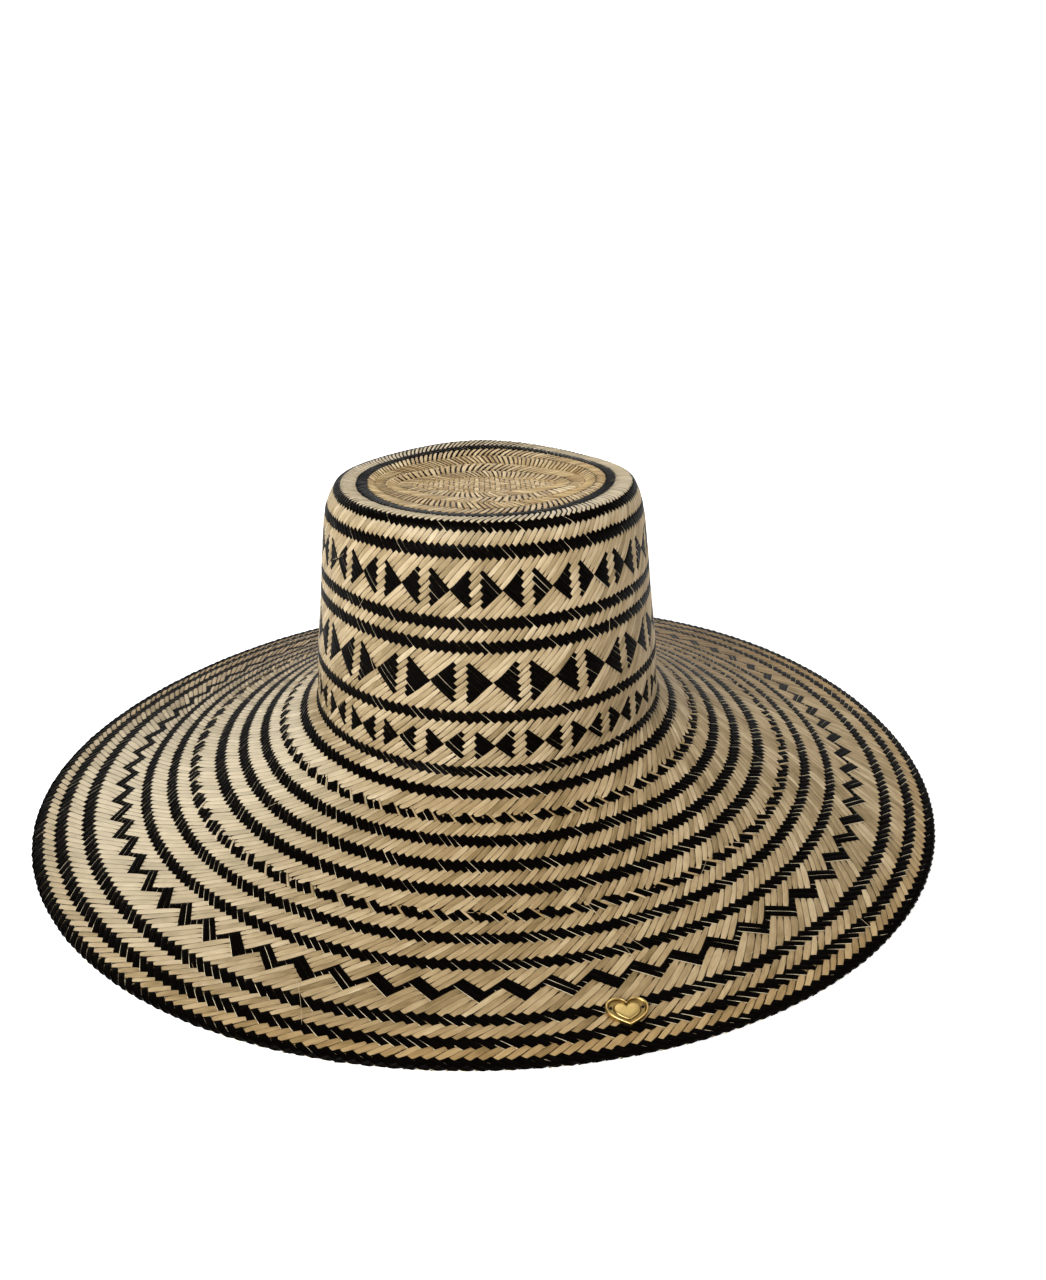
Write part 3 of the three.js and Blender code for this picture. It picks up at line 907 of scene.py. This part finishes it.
def ring_mesh(name, rings, recess_shade=None):
    """A closed surface in the heart's frame from a stack of closed rings, an array of rings by points by
    three. The first and the last ring shrink to one point, which closes a pole; their doubles are merged.
    The last argument gives each ring a value of painted shade for the brass."""
    rows, points = rings.shape[:2]
    middle, axes = heart_frame()
    spots = rings.reshape(-1, 3) @ axes.T + middle
    ids = np.arange(rows * points).reshape(rows, points)
    near_ring, far_ring = ids[:-1], ids[1:]
    quads = np.stack([near_ring, np.roll(near_ring, -1, 1), np.roll(far_ring, -1, 1), far_ring], -1)
    mesh = bpy.data.meshes.new(name)
    mesh.from_pydata((spots * MM).tolist(), [], quads.reshape(-1, 4).tolist())
    if recess_shade is not None:
        attribute = mesh.attributes.new("recess_shade", "FLOAT", "POINT")
        attribute.data.foreach_set("value", np.repeat(recess_shade, points).astype(np.float32))
    shape = bmesh.new()
    shape.from_mesh(mesh)
    bmesh.ops.remove_doubles(shape, verts=shape.verts, dist=1e-7)
    bmesh.ops.recalc_face_normals(shape, faces=shape.faces)
    shape.to_mesh(mesh)
    shape.free()
    mesh.polygons.foreach_set("use_smooth", np.ones(len(mesh.polygons), bool))
    return mesh


class StrawHatWeaveSettings(bpy.types.PropertyGroup):
    """Sizes of the straw strips."""
    strip_width_share: FloatProperty(
        name="Strip width", description="Width of a strip as a share of the room between its neighbours",
        default=1.0, min=0.6, max=1.1)
    width_variation: FloatProperty(
        name="Width variation", description="How far the bounds between strips wander, as a share of a strip",
        default=0.09, min=0.0, max=0.3)
    strip_thickness: FloatProperty(
        name="Strip thickness", description="Thickness of a strip at its ridge, in mm", default=0.28, min=0.1)
    strip_lift: FloatProperty(
        name="Strip lift", description="How far a strip rises over or dips under the weave's middle, in mm",
        default=0.22, min=0.1, max=0.8)
    strip_roll: FloatProperty(
        name="Strip roll", default=-0.13, min=-0.3, max=0.3,
        description="How far a natural strip is rolled, in radians, to lie over the next like a shingle")
    float_rise: FloatProperty(
        name="Float rise", description="How much a long float bulges in its middle, in mm",
        default=0.14, min=0.0, max=0.8)
    fibre_count: IntProperty(
        name="Loose fibres", description="Number of loose fibres scattered over the hat", default=26, min=0)
    seed: IntProperty(
        name="Seed", description="Seed of the small differences between strips", default=11, min=0)


class StrawHatCharmSettings(bpy.types.PropertyGroup):
    """Finish of the brass heart."""
    brass_colour: FloatVectorProperty(
        name="Brass", description="Colour of the polished brass", subtype="COLOR", size=3,
        default=to_linear("#e2c583")[:3], min=0.0, max=1.0)


class StrawHatStageSettings(bpy.types.PropertyGroup):
    """Floor, light and camera."""
    floor_colour: FloatVectorProperty(
        name="Floor", description="Colour of the plain floor", subtype="COLOR", size=3,
        default=to_linear("#f8f8f7")[:3], min=0.0, max=1.0)
    floor_glow: FloatProperty(
        name="Floor glow", description="Light that the white floor gives off by itself", default=0.5, min=0.0)
    key_power: FloatProperty(
        name="Key light", description="Power of the large soft light at the left", subtype="POWER",
        default=34.0, min=0.0)
    fill_power: FloatProperty(
        name="Fill light", description="Power of the soft light at the right", subtype="POWER",
        default=10.5, min=0.0)
    sheen_power: FloatProperty(
        name="Sheen light", description="Power of the light behind the hat that gives the straw its sheen",
        subtype="POWER", default=4.8, min=0.0)
    backdrop_power: FloatProperty(
        name="Backdrop light", description="Power of the light on the backdrop", subtype="POWER",
        default=20.0, min=0.0)
    lens: FloatProperty(
        name="Lens", description="Focal length in mm for a frame 36 mm high", default=27.57, min=1.0)


class HAT_OT_crown_top(bpy.types.Operator):
    """Weave the sunken top of the crown: herringbone rings and the twill in the middle"""
    bl_idname = "straw_hat.crown_top"
    bl_label = "Crown top"

    def execute(self, context):
        s = context.scene.straw_hat_weave
        rings = [
            strip_family(-21, -15, MIDDLE_COUNT, -1, s.seed + 1, s, **LOOSE),
            strip_family(-21, -15, MIDDLE_COUNT, 1, s.seed + 2, s, **LOOSE),
            strip_family(-15, -7, TOP_COUNT, -1, s.seed + 12, s, **LOOSE),
        ]
        rings = [undyed(ring, ring["levels"] < 0) for ring in rings]
        twill = [twill_strips(True, s.seed + 3, s), twill_strips(False, s.seed + 4, s)]
        weave_piece("crown_top_strips", rings + twill, False)
        return {"FINISHED"}


class HAT_OT_crown_wall(bpy.types.Operator):
    """Weave the crown's shoulder and wall down to the root of the brim"""
    bl_idname = "straw_hat.crown_wall"
    bl_label = "Crown wall"

    def execute(self, context):
        s = context.scene.straw_hat_weave
        natural = strip_family(-7, 80, CROWN_COUNT, -1, s.seed + 5, s, tip_rise=TIP_RISE, width=NATURAL_WIDTH)
        weave_piece("crown_natural_strips", [natural], False)
        inner = strip_family(-15, -9, TOP_COUNT, 1, s.seed + 13, s, **LOOSE)
        dyed = strip_family(-9, 76, CROWN_COUNT, 1, s.seed + 6, s, lines=0.78, **DYED)
        weave_piece("crown_dyed_strips", [undyed(inner, inner["levels"] < TOP_DYE_BEGINS), dyed], True)
        return {"FINISHED"}


class HAT_OT_brim_inner(bpy.types.Operator):
    """Weave the brim's inner half, whose first dyed band has an undyed strip after every two dyed ones"""
    bl_idname = "straw_hat.brim_inner"
    bl_label = "Inner brim"

    def execute(self, context):
        s = context.scene.straw_hat_weave
        natural = strip_family(80, 108, INNER_COUNT, -1, s.seed + 7, s, [INNER_UNEVEN], tip_rise=TIP_RISE,
                               width=NATURAL_WIDTH)
        dyed = strip_family(77, 104, INNER_COUNT, 1, s.seed + 8, s, [INNER_MIXED], **DYED)
        dyed = undyed(dyed, (dyed["dyed"] % 3 == 2) & (dyed["levels"] < FIRST_MIX_END))
        weave_piece("brim_inner_natural_strips", [natural], False)
        weave_piece("brim_inner_dyed_strips", [dyed], True)
        return {"FINISHED"}


class HAT_OT_brim_outer(bpy.types.Operator):
    """Weave the outer half of the brim with the zigzag, and fold its dyed strips round the edge"""
    bl_idname = "straw_hat.brim_outer"
    bl_label = "Outer brim"

    def execute(self, context):
        s = context.scene.straw_hat_weave
        natural = strip_family(108, 153, OUTER_COUNT, -1, s.seed + 9, s, [OUTER_UNEVEN], width=NATURAL_WIDTH)
        dyed = strip_family(105, 158, OUTER_COUNT, 1, s.seed + 10, s, [OUTER_MIXED], lines=1.35, **DYED)
        dyed = undyed(dyed, ((dyed["dyed"] - ZIGZAG["dyed"]) % 4 == 3) & (dyed["levels"] < SECOND_MIX_END))
        weave_piece("brim_outer_natural_strips", [natural], False)
        weave_piece("brim_outer_dyed_strips", [dyed], True)
        return {"FINISHED"}


class HAT_OT_fibres(bpy.types.Operator):
    """Scatter the loose fibres that stand off the weave, with one open loop on the front of the brim"""
    bl_idname = "straw_hat.fibres"
    bl_label = "Loose fibres"

    def execute(self, context):
        s = context.scene.straw_hat_weave
        rng = np.random.default_rng(s.seed + 20)
        count = s.fibre_count
        scattered = np.stack([
            rng.uniform(*FIBRE_LEVELS, count), rng.uniform(-math.pi, math.pi, count),
            rng.uniform(0, 2 * math.pi, count), rng.uniform(*FIBRE_LENGTHS, count),
            rng.normal(0, FIBRE_CURL, count), rng.uniform(*FIBRE_HUMPS, count)], 1)
        rows = np.concatenate([scattered, LOOSE_FIBRES])
        family = fibre_tubes(rows[:, :2], *rows[:, 2:].T)
        mesh = strip_mesh("loose_fibres", [family], FIBRE_THICKNESS)
        link_piece("loose_fibres", mesh, straw(False), HAT_NODE)
        return {"FINISHED"}


class HAT_OT_heart(bpy.types.Operator):
    """Cast the brass heart, a tray with a raised rim and a bare raised field, and sew it on"""
    bl_idname = "straw_hat.heart"
    bl_label = "Brass heart"

    def execute(self, context):
        shares, heights, recess_shade = np.array(HEART_RINGS).T
        rings = stacked(heart_outline()[None] * shares[:, None, None], heights)
        brass = brass_material(context.scene.straw_hat_charm.brass_colour)
        link_piece("brass_heart", ring_mesh("brass_heart", rings, recess_shade), brass, HEART_NODE)
        angle = np.linspace(0, 2 * math.pi, STITCH_SIDES, endpoint=False)
        circle = np.stack([np.cos(angle), np.sin(angle)], -1)
        radii, heights = np.array(STITCH_RINGS).T
        thread = thread_material()
        for side, hole in SEWING_HOLES.items():
            name = "sewing_thread_" + side
            rings = stacked(circle[None] * radii[:, None, None] + np.array(hole), heights)
            link_piece(name, ring_mesh(name, rings), thread, HEART_NODE)
        return {"FINISHED"}


# Camera and floor, in millimetres and degrees
CAMERA_PLACE = (-1.04, -483.5, 264.3)
CAMERA_PITCH = 22.14
CAMERA_YAW = 2.345
CAMERA_ROLL = -0.366
FRAME_HEIGHT = 36.0
FLOOR_FRONT, FLOOR_BACK, FLOOR_SIDE = -4000.0, 1800.0, 4500.0
SWEEP_RADIUS = 1000.0
WALL_TOP = 1800.0

WHITE = (1.0, 1.0, 1.0)
COOL_WHITE = (0.95, 0.975, 1.0)
WARM_WHITE = (1.0, 0.98, 0.95)
WORLD_COLOUR, WORLD_STRENGTH = (0.95, 0.97, 1.0, 1.0), 0.15


def camera_axes():
    """The camera's right, up and backward directions: yaw turns it from +Y towards +X, pitch down from the
    level, and roll about its own line of sight."""
    pitch, yaw, roll = (math.radians(a) for a in (CAMERA_PITCH, CAMERA_YAW, CAMERA_ROLL))
    ahead = Vector((math.sin(yaw) * math.cos(pitch), math.cos(yaw) * math.cos(pitch), -math.sin(pitch)))
    right = Vector((math.cos(yaw), -math.sin(yaw), 0.0))
    up = right.cross(ahead)
    turned_right = math.cos(roll) * right + math.sin(roll) * up
    turned_up = -math.sin(roll) * right + math.cos(roll) * up
    return Matrix((turned_right, turned_up, -ahead)).transposed()


def floor_mesh():
    """The floor's profile from front to back, flat, then a quarter circle, then a wall, carried from side to
    side."""
    bend = np.linspace(0, math.pi / 2, 17)
    run = np.concatenate([
        [FLOOR_FRONT], FLOOR_BACK + SWEEP_RADIUS * np.sin(bend), [FLOOR_BACK + SWEEP_RADIUS]])
    rise = np.concatenate([[0.0], SWEEP_RADIUS - SWEEP_RADIUS * np.cos(bend), [WALL_TOP]])
    width = np.array([-FLOOR_SIDE, FLOOR_SIDE])
    spots = np.stack(np.broadcast_arrays(width[None, :], run[:, None], rise[:, None]), -1).reshape(-1, 3)
    ids = np.arange(len(spots)).reshape(-1, 2)
    quads = np.stack([ids[:-1, 0], ids[:-1, 1], ids[1:, 1], ids[1:, 0]], -1)
    mesh = bpy.data.meshes.new("floor")
    mesh.from_pydata((spots * MM).tolist(), [], quads.tolist())
    mesh.polygons.foreach_set("use_smooth", np.ones(len(quads), bool))
    return mesh


def soft_light(name, place, aim, size, power, colour):
    """A large square area light at a place in metres, turned so that it looks at aim."""
    data = bpy.data.lights.new(name, "AREA")
    data.shape = "SQUARE"
    data.size = size
    data.energy = power
    data.color = colour
    lamp = bpy.data.objects.new(name, data)
    lamp.location = place
    lamp.rotation_mode = "QUATERNION"
    lamp.rotation_quaternion = (Vector(aim) - Vector(place)).to_track_quat("-Z", "Y")
    bpy.context.scene.collection.objects.link(lamp)


class HAT_OT_stage(bpy.types.Operator):
    """Set up the plain floor with its sweep, the soft studio light and the camera"""
    bl_idname = "straw_hat.stage"
    bl_label = "Stage"

    def execute(self, context):
        scene = context.scene
        s = scene.straw_hat_stage
        mesh = floor_mesh()
        mesh.materials.append(floor_material(s.floor_colour, s.floor_glow))
        floor = bpy.data.objects.new("floor", mesh)
        scene.collection.objects.link(floor)
        soft_light("key_light", (-1.05, -1.4, 1.0), (0, 0, 0.08), 0.8, s.key_power, COOL_WHITE)
        soft_light("fill_light", (1.3, -0.7, 1.6), (0, 0, 0.05), 0.9, s.fill_power, WARM_WHITE)
        soft_light("sheen_light", (0.25, 0.95, 1.9), (0.05, -0.2, 0), 0.9, s.sheen_power, WHITE)
        soft_light("backdrop_light", (0, 1.0, 1.6), (0, 2.8, 1.0), 1.6, s.backdrop_power, WHITE)
        world = bpy.data.worlds.new("studio")
        world.use_nodes = True
        background = world.node_tree.nodes["Background"].inputs
        background["Color"].default_value = WORLD_COLOUR
        background["Strength"].default_value = WORLD_STRENGTH
        scene.world = world
        scene.view_settings.view_transform = "Standard"
        scene.view_settings.look = "Medium High Contrast"
        data = bpy.data.cameras.new("camera")
        data.sensor_width = FRAME_HEIGHT
        data.lens = s.lens
        data.clip_start = 0.01
        camera = bpy.data.objects.new("camera", data)
        camera.matrix_world = Matrix.Translation(Vector(CAMERA_PLACE) * MM) @ camera_axes().to_4x4()
        scene.collection.objects.link(camera)
        scene.camera = camera
        return {"FINISHED"}


OPERATORS = [HAT_OT_stage, HAT_OT_crown_top, HAT_OT_crown_wall, HAT_OT_brim_inner, HAT_OT_brim_outer,
             HAT_OT_fibres, HAT_OT_heart]
SETTINGS = {
    "straw_hat_weave": StrawHatWeaveSettings,
    "straw_hat_charm": StrawHatCharmSettings,
    "straw_hat_stage": StrawHatStageSettings,
}


class HAT_PT_panel(bpy.types.Panel):
    """Sidebar panel that lists the hat's pieces and their settings"""
    bl_idname = "HAT_PT_panel"
    bl_label = "Straw Hat"
    bl_space_type = "VIEW_3D"
    bl_region_type = "UI"
    bl_category = "Straw Hat"

    def draw(self, context):
        for name in SETTINGS:
            group = getattr(context.scene, name)
            for key in group.bl_rna.properties.keys():
                if key not in ("rna_type", "name"):
                    self.layout.prop(group, key)
        for operator in OPERATORS:
            self.layout.operator(operator.bl_idname)


def register():
    for settings in SETTINGS.values():
        bpy.utils.register_class(settings)
    for name, settings in SETTINGS.items():
        setattr(bpy.types.Scene, name, PointerProperty(type=settings))
    for operator in OPERATORS:
        bpy.utils.register_class(operator)
    bpy.utils.register_class(HAT_PT_panel)


def unregister():
    bpy.utils.unregister_class(HAT_PT_panel)
    for operator in reversed(OPERATORS):
        bpy.utils.unregister_class(operator)
    for name in SETTINGS:
        delattr(bpy.types.Scene, name)
    for settings in SETTINGS.values():
        bpy.utils.unregister_class(settings)


def main():
    register()
    bpy.ops.straw_hat.stage()
    bpy.ops.straw_hat.crown_top()
    bpy.ops.straw_hat.crown_wall()
    bpy.ops.straw_hat.brim_inner()
    bpy.ops.straw_hat.brim_outer()
    bpy.ops.straw_hat.fibres()
    bpy.ops.straw_hat.heart()


if __name__ == "__main__":
    main()
